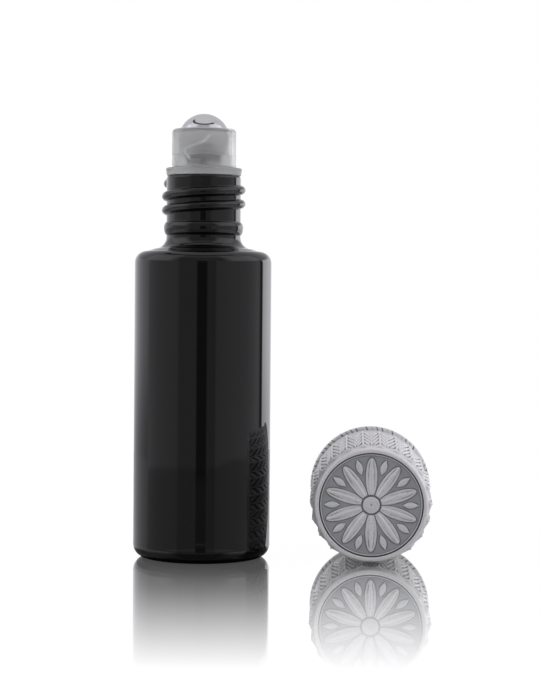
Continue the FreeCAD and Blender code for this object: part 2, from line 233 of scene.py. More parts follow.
@named
class BadgeSizes(bpy.types.PropertyGroup):
    """Sizes of the badge in the cap's top, measured from the cap's mouth."""
    radius: length(7.73, "Radius of the badge")
    floor: length(23.2475, "Height of the badge's underside")
    face: length(24.1475, "Height of the badge's ground")
    lift: length(0.35, "Height of the rosette above the ground")
    boss_radius: length(1.3, "Radius of the boss in the middle")
    boss_groove: length(0.3, "Width of the groove round the boss")
    dimple_radius: length(0.2, "Radius of the dimple in the boss")
    petal_count: whole(10, "Number of petals")
    petal_width: length(1.9, "Greatest width of a petal")
    petal_inner: length(1.2, "Radius at which a petal starts")
    petal_outer: length(7.05, "Radius at which a petal ends")
    leaf_width: length(1.2, "Greatest width of a leaf tip between petals")
    leaf_inner: length(4.7, "Radius at which a leaf tip starts")
    leaf_share: number(0.7, "Height of a leaf tip as a share of the rosette's lift")
    edge_width: length(0.12, "Width of the bevel round the badge")
    border_width: length(0.3, "Width of the raised border round the badge")
    border_share: number(0.35, "Height of the border as a share of the rosette's lift")


@named
class Finishes(bpy.types.PropertyGroup):
    """Colours of the finishes."""
    glass: tint(0.003, 0.003, 0.0035, "Black opaque glass")
    plastic: tint(0.72, 0.725, 0.73, "Natural frosted plastic")
    steel: tint(0.66, 0.66, 0.67, "Polished steel")
    polish: tint(0.97, 0.96, 0.96, "Rubbed ridges of the antiqued metal")
    silver: tint(0.79, 0.78, 0.785, "Ground of the antiqued metal")
    patina: tint(0.27, 0.255, 0.25, "Hollows of the antiqued metal")
    badge_ground: tint(0.49, 0.51, 0.535, "Ground of the badge")
    badge_relief: tint(0.92, 0.91, 0.92, "Raised parts of the badge")
    liner: tint(0.82, 0.82, 0.80, "White plastic of the liner")
    seal: tint(0.70, 0.70, 0.68, "Soft foam of the sealing disc")


@named
class StageSettings(bpy.types.PropertyGroup):
    """Camera, floor and light."""
    camera_x: length(10.285, "Place of the camera to the right of the bottle's axis")
    camera_y: length(-294.0, "Place of the camera in front of the bottle's axis")
    camera_z: length(41.7, "Height of the camera above the floor")
    camera_pitch: turn(-1.535, "Tilt of the camera, negative downwards")
    camera_roll: turn(0.47, "Roll of the camera")
    camera_lens: number(101.9, "Focal length of the camera in millimetres")
    floor_shine: number(0.93, "Share of the mirror image next to the object")
    floor_gloss: number(0.75, "Least share of the mirror image in what the object reflects")
    floor_reach: length(80.0, "Distance over which the mirror image fades")
    floor_white: length(70.0, "Distance from the object at which the floor starts to turn white")
    floor_size: length(190.0, "Distance from the middle of the object to the floor's edges")
    floor_fade: number(1.7, "Power by which the mirror image fades")
    top_level: number(0.74, "Brightness of the panel overhead")


@named
class RollOnSettings(bpy.types.PropertyGroup):
    """All settings of the roll on bottle."""
    glass: settings_of(GlassSizes)
    housing: settings_of(HousingSizes)
    ball: settings_of(BallSizes)
    shell: settings_of(ShellSizes)
    badge: settings_of(BadgeSizes)
    finishes: settings_of(Finishes)
    stage: settings_of(StageSettings)


# Surfaces

def unit(vector):
    """The vector divided by its length."""
    return vector / np.linalg.norm(vector)


def smooth(value):
    """Rises from 0 to 1 as the value does, level at both ends: 3 v squared less 2 v cubed."""
    value = np.clip(value, 0, 1)
    return value * value * (3 - 2 * value)


def window(value, start, rise, end, fall):
    """Rises smoothly from 0 to 1 after a start and falls back to 0 before an end."""
    return smooth((value - start) / rise) * smooth((end - value) / fall)


def angles(columns):
    """Equal steps of angle round the axis."""
    return np.arange(columns) * 2 * np.pi / columns


def rounded_outline(corners, closed=False, steps=6):
    """Outline through corners given as (radius, height, rounding).

    A corner with no rounding stays as it is. Any other is replaced by the arc of that radius that
    touches both of its sides, in equal steps.
    """
    places = np.array([corner[:2] for corner in corners], float)
    points = []
    for index, corner in enumerate(corners):
        place, rounding = places[index], corner[2]
        if rounding == 0 or (not closed and index in (0, len(corners) - 1)):
            points.append(place[None])
            continue
        back = unit(places[index - 1] - place)
        ahead = unit(places[(index + 1) % len(places)] - place)
        half = np.arccos(np.clip(back @ ahead, -1, 1)) / 2
        centre = place + unit(back + ahead) * rounding / np.sin(half)
        first = place + back * rounding / np.tan(half) - centre
        last = place + ahead * rounding / np.tan(half) - centre
        bend = np.pi - 2 * half
        count = max(2, int(np.ceil(steps * bend / (np.pi / 2))))
        share = np.linspace(0, 1, count + 1)[:, None]
        arc = np.sin((1 - share) * bend) * first + np.sin(share * bend) * last
        points.append(centre + arc / np.sin(bend))
    return np.concatenate(points)


def divided(outline, longest, closed=False, support=0.08 * MM):
    """The same outline with no side longer than a length, and with a point near each end of a long side."""
    ends = np.concatenate([outline, outline[:1]]) if closed else outline
    pieces = []
    for start, end in zip(ends[:-1], ends[1:]):
        side = np.linalg.norm(end - start)
        if side < NO_LENGTH:
            continue
        shares = np.linspace(0, 1, max(1, int(np.ceil(side / longest))) + 1)[:-1]
        if side > 4 * support:
            shares = np.sort(np.concatenate([shares, [support / side, 1 - support / side]]))
        pieces.append(start + shares[:, None] * (end - start))
    if not closed:
        pieces.append(ends[-1:])
    return np.concatenate(pieces)


def turned(radius, height, columns):
    """Points of radius and height arrays carried round the axis in equal steps of angle."""
    angle = angles(columns)
    radius = np.broadcast_to(radius, (len(radius), columns))
    height = np.broadcast_to(height, radius.shape)
    return np.stack([radius * np.cos(angle), radius * np.sin(angle), height], axis=-1)


def surface_mesh(name, points, loop=False, **values):
    """Closed mesh of a grid of points whose rows go round.

    With loop the last row joins the first, as on a ring. Without it the first and last rows are poles:
    each becomes one vertex with a fan of triangles. Each further value, one for each point, is kept as an
    attribute under its name.
    """
    rows, columns = points.shape[:2]
    here = np.arange(columns)
    after = (here + 1) % columns

    def strip(lower, upper):
        """Quads between rows that start at these vertex numbers, turned outwards."""
        return np.stack([lower + here, lower + after, upper + after, upper + here], axis=-1).reshape(-1, 4)

    def packed(grid):
        """The grid's values in the order of the mesh's vertices."""
        if loop:
            return grid.reshape(rows * columns, -1)
        inner = grid[1:-1].reshape((rows - 2) * columns, -1)
        return np.concatenate([grid[0, :1].reshape(1, -1), inner, grid[-1, :1].reshape(1, -1)])

    if loop:
        starts = np.arange(rows)[:, None] * columns
        faces = strip(starts, np.roll(starts, -1)).tolist()
    else:
        starts = 1 + np.arange(rows - 2)[:, None] * columns
        last = 1 + (rows - 2) * columns
        faces = strip(starts[:-1], starts[1:]).tolist()
        faces += np.stack([0 * here, 1 + after, 1 + here], axis=-1).tolist()
        faces += np.stack([starts[-1] + here, starts[-1] + after, 0 * here + last], axis=-1).tolist()
    mesh = bpy.data.meshes.new(name)
    mesh.from_pydata(packed(points), [], faces)
    mesh.polygons.foreach_set("use_smooth", np.ones(len(mesh.polygons), bool))
    for label, grid in values.items():
        kept = mesh.attributes.new(label, "FLOAT", "POINT")
        kept.data.foreach_set("value", packed(grid).astype(np.float32).ravel())
    mesh.update()
    return mesh


def hollows(relief, passes, depth):
    """How hollow each point of a relief is, from 0 on a ridge over 0.5 on flat ground to 1 in a hollow.

    It is the mean height of the neighbourhood, found by averaging each point with its four neighbours
    several times, less the point's own height, over twice a given depth.
    """
    mean = relief
    for _ in range(passes):
        tall = np.pad(mean, ((1, 1), (0, 0)), mode="edge")
        mean = (mean + tall[:-2] + tall[2:] + np.roll(mean, 1, 1) + np.roll(mean, -1, 1)) / 5
    return np.clip(0.5 + (mean - relief) / (2 * depth), 0, 1)


def cap_place(points):
    """Points of the cap's own frame, mouth at the origin and top along Z, moved to where the cap lies."""
    origin = np.array(CAP_JOINT["pos_m"])
    along = unit(np.array(CAP_JOINT["axis"]))
    low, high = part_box("cap_badge")
    if along @ (np.array((low + high) / 2) - origin) < 0:
        along = -along
    across = unit(np.cross((0, 0, 1), along))
    return origin + points @ np.stack([across, np.cross(along, across), along])


def show(name, mesh, body, node, material):
    """Adds a finished piece with its material, which rides on its body and stands in for its node, now
    hidden.
    """
    piece = bpy.data.objects.new(name, mesh)
    bpy.context.scene.collection.objects.link(piece)
    mesh.materials.append(material)
    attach(piece, body)
    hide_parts(node)


def redress(node, material):
    """Puts a new material on a CAD node whose shape stays."""
    frame["nodes"][node].material_slots[0].material = material


# Shapes of the pieces

def sharp(radius, height):
    """Corners with no rounding at arrays of radius and height."""
    return np.stack([radius, height, 0 * radius], axis=-1)


# Powers that round the sections of the thread and the bead, and how much further the bead reaches downwards.
THREAD_FULLNESS = 0.62
BEAD_FULLNESS = 0.7
BEAD_SKIRT = 1.35


def thread_height(glass, angle, height):
    """Height of the thread above the neck.

    The thread's middle climbs one pitch in each turn. Across it the height falls as one less the squared
    distance, to the power of its fullness, and both ends fade in.
    """
    first = (angle - glass.thread_start) % (2 * np.pi) / (2 * np.pi)
    ridge = np.zeros(np.broadcast(angle, height).shape)
    for turns in range(int(np.ceil(glass.thread_turns)) + 1):
        progress = first + turns
        away = (height - glass.thread_bottom - glass.thread_pitch * progress) / glass.thread_reach
        ends = window(progress, 0, glass.thread_fade, glass.thread_turns, glass.thread_fade)
        ridge = np.maximum(ridge, ends * np.clip(1 - away ** 2, 0, 1) ** THREAD_FULLNESS)
    return glass.thread_depth * ridge


def glass_mesh(glass, columns=288, neck_rows=150, punt_rows=9):
    """The bottle: an outline of base, body, neck and hollow inside carried round the axis.

    The bead, the thread and the mould's parting line are added to the radius of the rows they lie on.
    """
    foot_corner = 0.2 * MM
    foot_inner = glass.body_radius - glass.base_corner - glass.foot_width
    inner = glass.body_radius - glass.wall
    bore = glass.neck_radius - glass.neck_wall
    flare_bottom = glass.shoulder_height + glass.shoulder_rise
    ceiling = glass.shoulder_height - glass.shoulder_wall
    share = np.linspace(0, 1, punt_rows, endpoint=False)
    punt = sharp(share * foot_inner, glass.punt_height * (1 - share ** 2))
    lowest_row = flare_bottom + glass.flare_radius + 0.1 * MM
    highest_row = glass.neck_top - glass.rim_corner - 0.05 * MM
    outline = divided(rounded_outline([
        *punt,
        (foot_inner, 0, foot_corner),
        (glass.body_radius, 0, glass.base_corner),
        (glass.body_radius, glass.shoulder_height, glass.shoulder_corner),
        (glass.shoulder_outer, glass.shoulder_height, glass.shoulder_blend),
        (glass.shoulder_inner, flare_bottom, glass.shoulder_blend),
        (glass.neck_radius, flare_bottom, glass.flare_radius),
        *((glass.neck_radius, row, 0) for row in np.linspace(lowest_row, highest_row, neck_rows)),
        (glass.neck_radius, glass.neck_top, glass.rim_corner),
        (bore, glass.neck_top, glass.rim_inner_corner),
        (bore, ceiling, glass.inner_corner),
        (inner, ceiling, glass.inner_corner),
        (inner, glass.base, glass.inner_corner),
        (0, glass.base, 0),
    ], steps=12), longest=2.5 * MM)
    radius, height = outline[:, :1], outline[:, 1:]
    on_neck = np.isclose(radius, glass.neck_radius, atol=ALIKE)
    from_bead = (height - glass.bead_height) / (glass.bead_width / 2)
    from_bead = np.where(from_bead < 0, from_bead / BEAD_SKIRT, from_bead)
    bead = np.clip(1 - from_bead ** 2, 0, 1) ** BEAD_FULLNESS
    seam = np.exp(-((height - glass.seam_height) / glass.seam_width) ** 2)
    outside = radius > glass.body_radius - glass.wall / 2
    raised = on_neck * np.maximum(glass.bead_rise * bead, thread_height(glass, angles(columns), height))
    raised = raised + outside * seam * glass.seam_rise
    return surface_mesh("glass_bottle_visual", turned(radius + raised, height, columns))


# Weld line on the front of the cup: millimetres across from the axis and above the flange.
WELD_LINE = np.array([(0.91, 4.83), (0.76, 4.5), (0.09, 3.86), (-0.35, 3.64), (-1.39, 3.3), (-2.28, 2.97),
                      (-2.72, 2.68), (-2.84, 2.38), (-2.66, 2.0), (-2.36, 1.57), (-2.06, 1.19)]) * MM
# Height over which the flange's frosting fades, how clear it still is, and the depth of the cup's outer skin.
FROST_FADE = 0.2 * MM
FROST_CLEAR = 0.4
CUP_SKIN = 0.25 * MM


def line_distance(line, across, height):
    """Distance of points from a line of straight pieces, each reached square to it or at one of its ends."""
    nearest = np.full(across.shape, np.inf)
    for start, end in zip(line[:-1], line[1:]):
        side = end - start
        right, up = across - start[0], height - start[1]
        share = np.clip((right * side[0] + up * side[1]) / (side @ side), 0, 1)
        nearest = np.minimum(nearest, np.hypot(right - share * side[0], up - share * side[1]))
    return nearest


def housing_mesh(housing, ball, glass, columns=320, cup_rows=52):
    """The roller housing: one closed outline of plug, flange, cup, socket and seat carried round the axis.

    The ribs are arcs along the plug. The seat's rows drop to the web inside each feed notch. The weld line is
    added to the cup's radius and fades with the squared distance from it. Two values are kept for the finish:
    how clear the plastic is, and how frosted. The paler colour of the clear plastic along the weld line is a
    painted highlight on its ridge.
    """
    neck_top, edge = glass.neck_top, housing.edge
    bottom = neck_top - housing.plug_length
    flange_top = neck_top + housing.flange_thickness
    flange_radius = glass.neck_radius + housing.flange_overhang
    web_bottom = flange_top - housing.web_thickness
    ledge = flange_top + housing.ledge_height
    plug_bore = housing.plug_radius - housing.plug_wall
    cup_top = ball.middle + housing.lip_height
    lowest_row = flange_top + 0.3 * MM
    highest_row = cup_top - 0.7 * MM
    bend = np.linspace(np.arcsin(housing.lip_height / housing.socket_radius), 0, 9)
    socket = sharp(housing.socket_radius * np.cos(bend), ball.middle + housing.socket_radius * np.sin(bend))
    ring = np.linspace(housing.seat_outer, housing.seat_inner, 6)
    seat = sharp(ring, ball.middle - np.sqrt(housing.socket_radius ** 2 - ring ** 2))
    middles = bottom + housing.rib_inset + housing.rib_pitch * np.arange(housing.rib_count)
    wave = np.linspace(-1, 1, 9)
    ribs = sharp(np.tile(housing.plug_radius + housing.rib_rise * (1 - wave ** 2), housing.rib_count),
                 (middles[:, None] + wave * housing.rib_width / 2).ravel())
    outline = divided(rounded_outline([
        (plug_bore, bottom, edge),
        (housing.plug_radius - housing.plug_lead, bottom, edge),
        (housing.plug_radius, bottom + housing.plug_lead, edge),
        *ribs,
        (housing.plug_radius, neck_top, 0),
        (glass.neck_radius, neck_top, edge),
        (flange_radius, flange_top, housing.flange_corner),
        (housing.cup_radius, flange_top, housing.cup_foot),
        *((housing.cup_radius, row, 0) for row in np.linspace(lowest_row, highest_row, cup_rows)),
        (housing.cup_radius, cup_top, housing.cup_corner),
        *socket,
        (housing.socket_radius, ledge, edge),
        (housing.chamber_radius, ledge, edge),
        (housing.chamber_radius, flange_top, edge),
        (housing.seat_outer, flange_top, 0),
        *seat,
        (housing.seat_inner, flange_top, 0),
        (housing.feed_radius, flange_top, edge),
        (housing.feed_radius, web_bottom, edge),
        (plug_bore, web_bottom, edge),
    ], closed=True), longest=0.7 * MM, closed=True)
    radius, height = outline[:, :1], outline[:, 1:]
    angle = angles(columns)
    spacing = 2 * np.pi / housing.notch_count
    beside = np.abs(radius * np.sin((angle + spacing / 2) % spacing - spacing / 2))
    on_seat = (radius < housing.seat_outer + edge) & (height > flange_top) & (height < ledge)
    cut = on_seat & (beside < housing.notch_width / 2)
    on_cup = np.isclose(radius, housing.cup_radius, atol=ALIKE) & (height > flange_top)
    from_weld = line_distance(WELD_LINE, radius * np.cos(angle), height - flange_top)
    weld = np.exp(-(from_weld / housing.weld_width) ** 2) * (on_cup & (np.sin(angle) < 0))
    frost = np.broadcast_to(smooth((flange_top + FROST_FADE - height) / FROST_FADE), weld.shape)
    inside = radius < housing.cup_radius - CUP_SKIN
    # Along the weld line, clear paints a highlight: the plastic is drawn paler there.
    clear = np.maximum(weld, np.maximum(inside, FROST_CLEAR * frost))
    height = np.where(cut, flange_top, height)
    points = turned(radius + housing.weld_rise * weld, height, columns)
    return surface_mesh("roller_housing_visual", points, loop=True, clear=clear, frost=frost)


def ball_mesh(ball, columns=128, rows=65):
    """The ball: a half circle carried round the axis."""
    lift = np.linspace(-np.pi / 2, np.pi / 2, rows)[:, None]
    points = turned(ball.radius * np.cos(lift), ball.middle + ball.radius * np.sin(lift), columns)
    return surface_mesh("roller_ball_visual", points)


# Across the cap's columns, as shares of their half width: rounding of a crest, a slit's start, end and fade.
CREST_ROUNDING = 0.1
SLIT_START = 0.06
SLIT_END = 0.97
SLIT_FADE = 0.12
# Share of a slit's half width that is flat, ground between slits and rim, and how much wider slits get there.
SLIT_FLAT = 0.3
SLIT_MARGIN = 0.3 * MM
SLIT_WIDENING = 0.9
# Next to the rim: height that is left of a column, length of its fall, and where slits start to widen.
RIM_HEIGHT = 0.4
RIM_FADE = 0.9 * MM
RIM_REACH = 1.6 * MM
# A pit's width at the rim and its sides' fade, as shares of a half column, and its end along its length.
PIT_WIDTH = 0.8
PIT_FADE = 0.15
PIT_END = 1.02
PIT_END_FADE = 0.06


def flute_relief(shell, angle, height):
    """Relief of the cap's side above its ground.

    Each column is a roof that falls straight from its crest to the valleys beside it, and narrows to a
    point towards the mouth. Slits slant down both of its faces at a steady spacing, with faded ends, wider
    next to the rim, and the valleys end there in pointed pits.
    """
    column = angle * shell.flute_count / (2 * np.pi)
    across = 2 * np.abs(column - np.round(column))
    share = np.clip((height - shell.band_bottom) / shell.flute_point, 0, 1)
    to_rim = shell.band_top - height
    crest = np.hypot(across, CREST_ROUNDING) - CREST_ROUNDING
    front = RIM_HEIGHT + (1 - RIM_HEIGHT) * smooth(to_rim / RIM_FADE)
    roof = front * shell.flute_rise * np.sqrt(share) * np.clip(1 - crest / np.maximum(share, 1e-3), 0, 1)
    half_column = np.pi * shell.core_top / shell.flute_count
    lean = half_column / np.hypot(half_column, shell.slit_slant)
    phase = (height - shell.slit_slant * across) / shell.slit_spacing
    away = np.abs(phase - np.round(phase)) * shell.slit_spacing * lean
    half_width = shell.slit_width / 2 * (1 + SLIT_WIDENING * smooth((RIM_REACH - to_rim) / RIM_FADE))
    slit = 1 - smooth(away / half_width - SLIT_FLAT)
    slit = slit * window(across, SLIT_START, SLIT_FADE, SLIT_END, SLIT_FADE)
    slit = slit * smooth((share - across) / SLIT_FADE) * smooth((to_rim - SLIT_MARGIN) / SLIT_MARGIN)
    near_rim = 1 - to_rim / shell.pit_length
    pit = smooth((near_rim * PIT_WIDTH - (1 - across)) / PIT_FADE) * (near_rim > 0)
    pit = pit * smooth((PIT_END - near_rim) / PIT_END_FADE)
    return roof - shell.slit_depth * slit - shell.pit_depth * pit


# The mouth ring's notches: mean and spread of their depths, how fast the depth changes from notch to notch,
# size and speed of the shift in that, flat part and slope of a notch, and the shares of the ring's width at
# which notches start and end, each with the width of its fade.
ROPE_MEAN = 0.55
ROPE_SPREAD = 0.45
ROPE_CHANGE = 2.4
ROPE_SHIFT = 1.7
ROPE_SHIFT_CHANGE = 1.3
ROPE_FLAT = 1.5
ROPE_SLOPE = 6.5
ROPE_WINDOW = (0.45, 0.2, 1.02, 0.1)


def rope_share(shell, angle, height):
    """Share of the mouth ring's notches: a slanted pulse that repeats round it, on its outer half.

    The depths are uneven: a sine of the notch's number, shifted by another sine of it.
    """
    across = height / shell.ring_width
    phase = shell.rope_count * angle / (2 * np.pi) + shell.rope_slant * across
    notch = np.round(phase)
    shift = ROPE_SHIFT * np.sin(ROPE_SHIFT_CHANGE * notch)
    uneven = ROPE_MEAN + ROPE_SPREAD * np.sin(ROPE_CHANGE * notch + shift)
    pulse = smooth(ROPE_FLAT - ROPE_SLOPE * np.abs(phase - notch))
    return pulse * uneven * window(across, *ROPE_WINDOW)


# What the notches and the rim add to how hollow the relief is, and the painted shade of the gap between rim
# and badge that the recess and the badge's bevel add to it.
ROPE_HOLLOW = 0.24
RIM_HOLLOW = -0.2
RECESS_PAINTED_SHADE = 0.5
BEVEL_PAINTED_SHADE = 0.5


def shell_mesh(shell, columns=616, band_rows=90):
    """The cap's shell: an outline of bore, mouth ring, side, rim and recess carried round the axis.

    The relief of the side and of the ring is added to the radius of their rows.
    """
    bore_corner, mouth_corner, recess_corner = 0.2 * MM, 0.15 * MM, 0.05 * MM
    rim_bottom = shell.band_top + 0.35 * MM
    recess_edge = shell.recess_radius + 0.02 * MM
    band_start = 0.004
    inside = divided(rounded_outline([
        (0, shell.ceiling, 0),
        (shell.bore, shell.ceiling, bore_corner),
        (shell.bore, 0, mouth_corner),
        (shell.ring_radius, 0, 0),
    ], steps=4), longest=4 * MM)[:-1]
    bend = np.linspace(-np.pi / 2, np.pi / 2, 19)
    half_ring = shell.ring_width / 2
    flat = half_ring - shell.ring_corner
    ring = np.stack([shell.ring_radius - shell.ring_corner + shell.ring_corner * np.cos(bend),
                     half_ring + flat * np.sign(np.sin(bend)) + shell.ring_corner * np.sin(bend)], axis=-1)
    ring = ring[ring[:, 0] > np.where(ring[:, 1] > half_ring, shell.core_mouth, 0)]
    share = np.linspace(band_start, 1, band_rows)[:, None]
    band = (1 - share) * (shell.core_mouth, shell.ring_width) + share * (shell.core_top, shell.band_top)
    top = divided(rounded_outline([
        (shell.rim_radius, rim_bottom, 0),
        (shell.rim_radius, shell.height, shell.rim_corner),
        (shell.recess_radius, shell.height, shell.rim_inner_corner),
        (shell.recess_radius, shell.recess_floor, recess_corner),
        (0, shell.recess_floor, 0),
    ]), longest=4 * MM)
    outline = np.concatenate([inside, ring, band, top])
    radius, height = outline[:, :1], outline[:, 1:]
    angle = angles(columns)
    stretch = np.repeat(np.arange(4), [len(inside), len(ring), len(band), len(top)])[:, None]
    on_ring, on_band, on_top = stretch == 1, stretch == 2, stretch == 3
    rope = on_ring * rope_share(shell, angle, height)
    relief = on_band * flute_relief(shell, angle, height) - shell.rope_depth * rope
    recess = on_top & (radius < recess_edge)
    rim = on_top & ~recess
    hollow = hollows(relief, passes=6, depth=0.12 * MM)
    # The recess adds painted shade: the gap between rim and badge is drawn dark.
    hollow = np.clip(hollow + ROPE_HOLLOW * rope + RIM_HOLLOW * rim + RECESS_PAINTED_SHADE * recess, 0, 1)
    points = cap_place(turned(radius + relief, height, columns))
    return surface_mesh("cap_shell_visual", points, hollow=hollow)


# The rosette: edges of petals and leaves as shares of their half widths, depth of a petal beside its vein,
# a leaf's slope and the power of its outline, the boss's wall and the dimple as shares of the lift, and the
# widths of the slopes of the boss and the border.
PETAL_EDGE = 0.3
LEAF_EDGE = 0.5
VEIN = 0.26
LEAF_SLOPE = 0.35
LEAF_FULLNESS = 0.9
BOSS_WALL = 0.4
DIMPLE_DEPTH = 0.7
BOSS_SLOPE = 0.1 * MM
BORDER_SLOPE = 0.08 * MM


def rosette_relief(badge, radius, angle):
    """Relief of the badge: petals round a boss, with a leaf tip between each two.

    A petal is an ellipse whose section has a raised vein in its middle and raised edges. A leaf tip is a
    spindle with one crest. The boss is a dome with a dimple, with a groove round it, and a low border
    goes round the badge.
    """
    step = 2 * np.pi / badge.petal_count
    from_first = angle - np.pi / 2
    from_petal = from_first - step * np.round(from_first / step)
    from_leaf = from_first - step * (np.floor(from_first / step) + 0.5)
    middle = (badge.petal_inner + badge.petal_outer) / 2
    along = (radius * np.cos(from_petal) - middle) / ((badge.petal_outer - badge.petal_inner) / 2)
    outline = badge.petal_width / 2 * np.sqrt(np.clip(1 - along ** 2, 1e-6, 1))
    side = np.abs(radius * np.sin(from_petal)) / outline
    vein = 1 - VEIN + VEIN * np.cos(2 * np.pi * np.clip(side, 0, 1))
    petal = smooth((1 - side) / PETAL_EDGE) * vein * (np.abs(along) < 1)
    share = np.clip((radius - badge.leaf_inner) / (badge.petal_outer - badge.leaf_inner), 0, 1)
    outline = badge.leaf_width / 2 * np.maximum(np.sin(np.pi * share) ** LEAF_FULLNESS, 1e-4)
    side = np.abs(radius * np.sin(from_leaf)) / outline
    leaf = badge.leaf_share * smooth((1 - side) / LEAF_EDGE) * (1 - LEAF_SLOPE * np.clip(side, 0, 1))
    leaf = leaf * (share > 0) * (share < 1)
    clear = smooth((radius - badge.boss_radius - badge.boss_groove / 3) / badge.boss_groove)
    boss = BOSS_WALL * smooth((badge.boss_radius - radius) / BOSS_SLOPE)
    dome = np.sqrt(np.clip(1 - (radius / badge.boss_radius) ** 2, 0, 1))
    boss = boss + (1 - BOSS_WALL) * dome * (boss > 0)
    dimple = np.exp(-(radius / badge.dimple_radius) ** 2)
    border = badge.border_share * smooth((radius - badge.radius + badge.border_width) / BORDER_SLOPE)
    return badge.lift * (np.maximum(np.maximum(petal, leaf) * clear, boss) + border - DIMPLE_DEPTH * dimple)


def badge_mesh(badge, columns=480, face_rows=112):
    """The badge: a disc whose face is lifted by the rosette's relief, with a bevel round it."""
    inset, bevel_depth = 0.02 * MM, 0.16 * MM
    wall_bottom, wall_top = badge.floor + 0.05 * MM, badge.face - 0.2 * MM
    face_radius = (badge.radius - inset) * np.linspace(1, 0, face_rows)[:, None]
    under = np.array([(0, badge.floor), (badge.radius - inset, badge.floor),
                      (badge.radius, wall_bottom), (badge.radius, wall_top)])
    radius = np.concatenate([under[:, :1], face_radius])
    relief = rosette_relief(badge, face_radius, angles(columns))
    bevel = smooth((face_radius - badge.radius + badge.edge_width) / badge.edge_width)
    face = badge.face + relief - bevel * bevel_depth
    below = np.ones((len(under), columns))
    height = np.concatenate([below * under[:, 1:], face])
    # The bevel adds painted shade: the gap between badge and rim is drawn dark.
    hollow = np.clip(hollows(relief, passes=10, depth=0.09 * MM) + BEVEL_PAINTED_SHADE * bevel, 0, 1)
    points = cap_place(turned(radius, height, columns))
    return surface_mesh("cap_badge_visual", points, hollow=np.concatenate([below, hollow]),
                        raised=np.concatenate([0 * below, np.clip(relief / badge.lift, 0, 1)]))


# Finishes

WHITE = (1, 1, 1, 1)
NUMBER, COLOUR = "NodeSocketFloat", "NodeSocketColor"


def feed(tree, node, inputs):
    """Plain values and links on a node's inputs, by their names or places."""
    for place, value in inputs.items():
        if isinstance(value, bpy.types.NodeSocket):
            tree.links.new(value, node.inputs[place])
        else:
            node.inputs[place].default_value = value


def add_node(tree, kind, inputs=None, **settings):
    """A node of a kind with its own settings, and plain values and links on its inputs."""
    node = tree.nodes.new(kind)
    for name, value in settings.items():
        setattr(node, name, value)
    feed(tree, node, inputs or {})
    return node


def ranged(tree, value, low, high, to_low=0.0, to_high=1.0):
    """A value carried smoothly from one range to another."""
    inputs = {"Value": value, "From Min": low, "From Max": high, "To Min": to_low, "To Max": to_high}
    return add_node(tree, "ShaderNodeMapRange", inputs, interpolation_type="SMOOTHSTEP").outputs["Result"]


def mathed(tree, operation, *values):
    """Values, sockets or numbers, put through one operation."""
    return add_node(tree, "ShaderNodeMath", dict(enumerate(values)), operation=operation).outputs["Value"]


def vectored(tree, operation, *values):
    """Vectors, sockets or plain ones, put through one operation."""
    node = add_node(tree, "ShaderNodeVectorMath", dict(enumerate(values)), operation=operation)
    return node.outputs["Value" if operation == "LENGTH" else "Vector"]


def mixed(tree, factor, first, second):
    """Two colours, sockets or plain ones, mixed by a factor."""
    node = add_node(tree, "ShaderNodeMix", {"Factor": factor}, data_type="RGBA")
    colours = [place for place, socket in enumerate(node.inputs) if socket.type == "RGBA"]
    feed(tree, node, dict(zip(colours, (first, second))))
    return next(socket for socket in node.outputs if socket.type == "RGBA")


def mixed_shader(tree, factor, first, second):
    """Two shaders mixed by a factor."""
    return add_node(tree, "ShaderNodeMixShader", {0: factor, 1: first, 2: second}).outputs[0]


def attribute(tree, name):
    """A value that the piece's mesh keeps under a name."""
    return add_node(tree, "ShaderNodeAttribute", attribute_name=name).outputs["Fac"]


def noise(tree, scale, detail=3.0):
    """Noise on Object coordinates. The scale is a number or a socket, in cells to the metre."""
    place = add_node(tree, "ShaderNodeTexCoord").outputs["Object"]
    inputs = {"Vector": place, "Scale": scale, "Detail": detail}
    return add_node(tree, "ShaderNodeTexNoise", inputs).outputs["Fac"]


def new_group(name, inputs, outputs):
    """An empty shader node group with these float or colour sockets."""
    group = bpy.data.node_groups.new(name, "ShaderNodeTree")
    for side, sockets in (("INPUT", inputs), ("OUTPUT", outputs)):
        for label, kind in sockets.items():
            group.interface.new_socket(label, in_out=side, socket_type=kind)
    return group, group.nodes.new("NodeGroupInput").outputs, group.nodes.new("NodeGroupOutput")


# Range of the noise that the grain's roughness follows.
GRAIN_RANGE = (0.3, 0.7)


def grain_group():
    """Grain: a roughness that wanders between two values, and a height, at a scale in cells to the metre."""
    if "surface_grain" in bpy.data.node_groups:
        return bpy.data.node_groups["surface_grain"]
    group, start, end = new_group("surface_grain", {"Scale": NUMBER, "Smoothest": NUMBER, "Roughest": NUMBER},
                                  {"Roughness": NUMBER, "Height": NUMBER})
    cloud = noise(group, start["Scale"])
    spread = add_node(group, "ShaderNodeMapRange", {
        "Value": cloud, "From Min": GRAIN_RANGE[0], "From Max": GRAIN_RANGE[1],
        "To Min": start["Smoothest"], "To Max": start["Roughest"]})
    feed(group, end, {"Roughness": spread.outputs["Result"], "Height": cloud})
    return group


# Antiquing: how hollow places are where rubbing ends and where soil sets in, and how far stains shift that.
RUBBED = (0.3, 0.5)
SOILED = (0.52, 0.8)
STAIN_SHIFT = 0.22
# Noise that makes pits, how dark they are, roughness from clean to soiled, and what specks add to it.
PITTED = (0.62, 0.72)
PIT_DARKNESS = 0.4
ANTIQUE_ROUGHNESS = (0.48, 0.65)
SPECK_ROUGHNESS = 0.08


